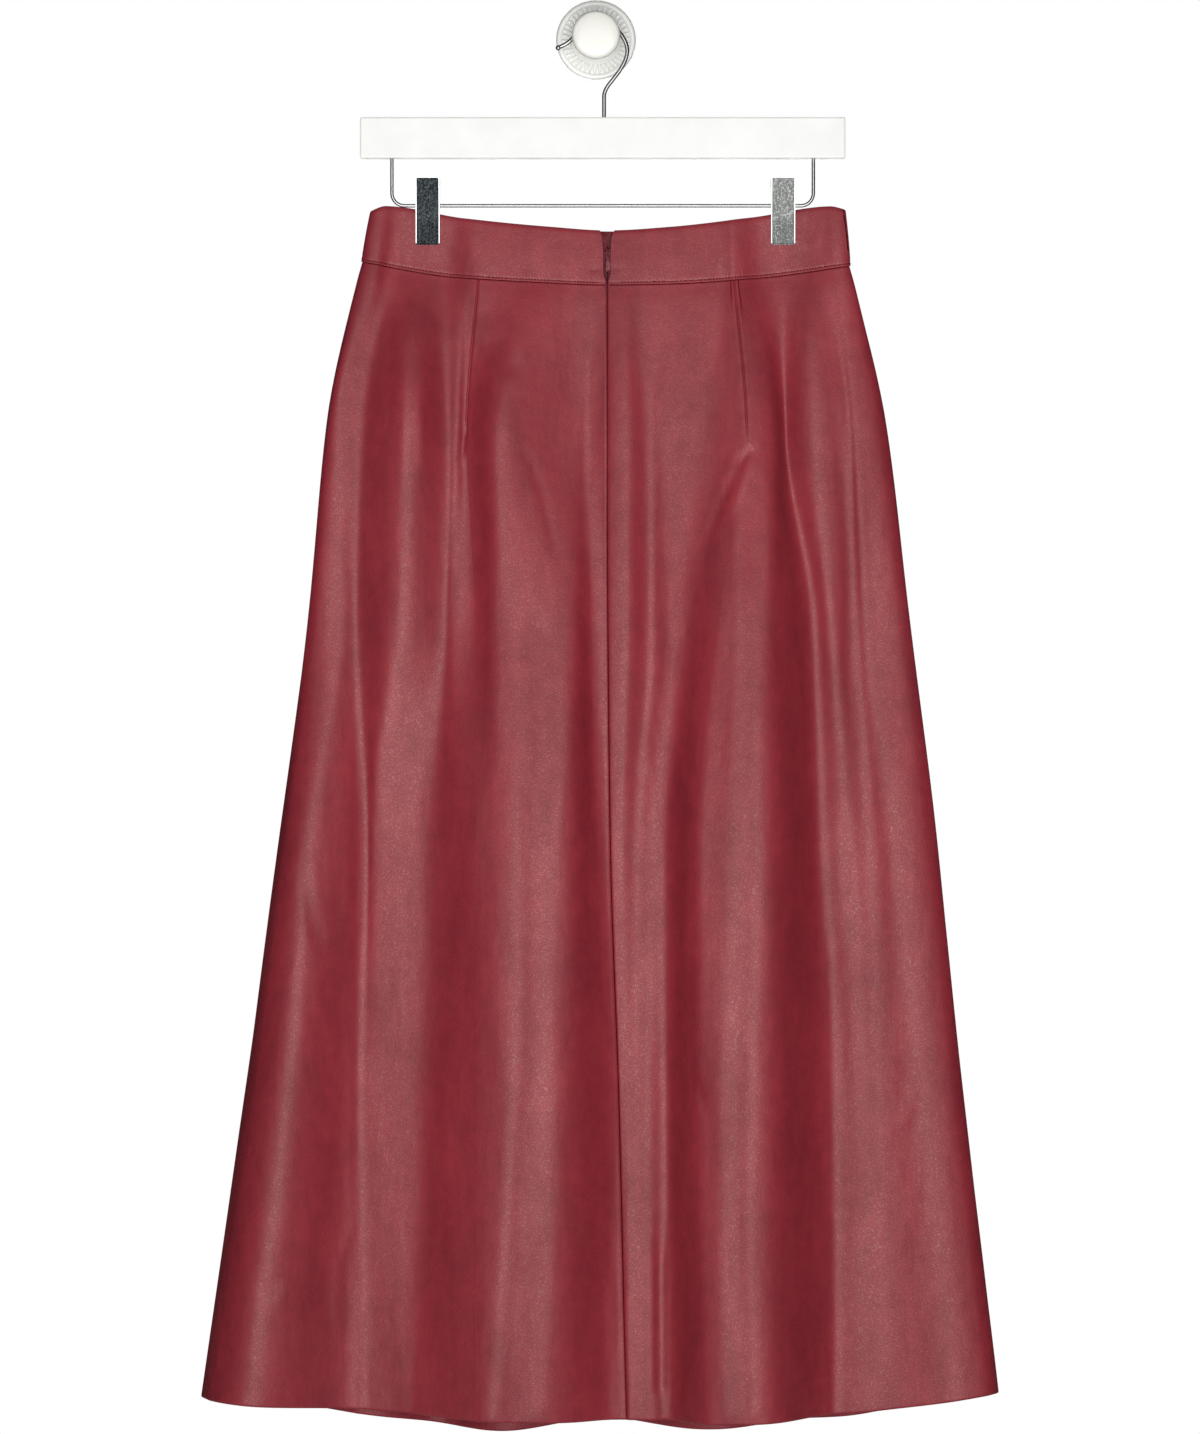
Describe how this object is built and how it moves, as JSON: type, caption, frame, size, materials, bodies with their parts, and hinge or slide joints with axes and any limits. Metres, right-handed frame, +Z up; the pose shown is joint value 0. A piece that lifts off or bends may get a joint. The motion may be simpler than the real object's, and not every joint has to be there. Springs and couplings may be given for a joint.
{
  "type": "leather skirt on a clip hanger and wall knob",
  "caption": "Flared midi skirt in burgundy coated leather cloth, back zip side shown, clipped by its waistband to a white bar hanger on a round wall knob.",
  "frame": {"origin": "centre of the wall knob's rosette, in the plane of the wall it is fixed to", "axes": "+Z up, +Y into the wall, +X to the right of someone who faces the wall; the skirt's back with its zip faces -Y"},
  "size_m": [0.5722, 0.087, 1.0328],
  "materials": {
    "leather": "burgundy coated leather cloth, satin, fine grain",
    "zip_tape": "dark red woven tape",
    "zip_metal": "burgundy enamelled metal, worn bright at the tab",
    "white_bar": "white, softly glossy",
    "chrome": "polished chrome with fine wear",
    "white_paint": "white satin paint"
  },
  "bodies": {
    "skirt": {"back_panel_left": "leather", "back_panel_right": "leather", "front_panel": "leather", "waistband_back_left": "leather", "waistband_back_right": "leather", "waistband_front": "leather", "zip_tape_left": "zip_tape", "zip_tape_right": "zip_tape", "zip_slider": "zip_metal", "hanger_bar": "white_bar", "hanger_hook": "chrome", "clip_rail": "chrome", "clip_left_outer_jaw": "chrome", "clip_left_wall_jaw": "chrome", "clip_left_spring": "chrome", "clip_right_outer_jaw": "chrome", "clip_right_wall_jaw": "chrome", "clip_right_spring": "chrome", "wall_rosette": "white_paint", "wall_knob": "white_paint"},
    "pull_tab": {"zip_pull": "zip_metal"}
  },
  "joints": [
    {"name": "pull_tab_hinge", "type": "hinge", "parent": "skirt", "child": "pull_tab", "pos_m": [0.00867, -0.03656, -0.15524], "axis": [-1, 0, 0], "range_deg": [0, 160]}
  ]
}
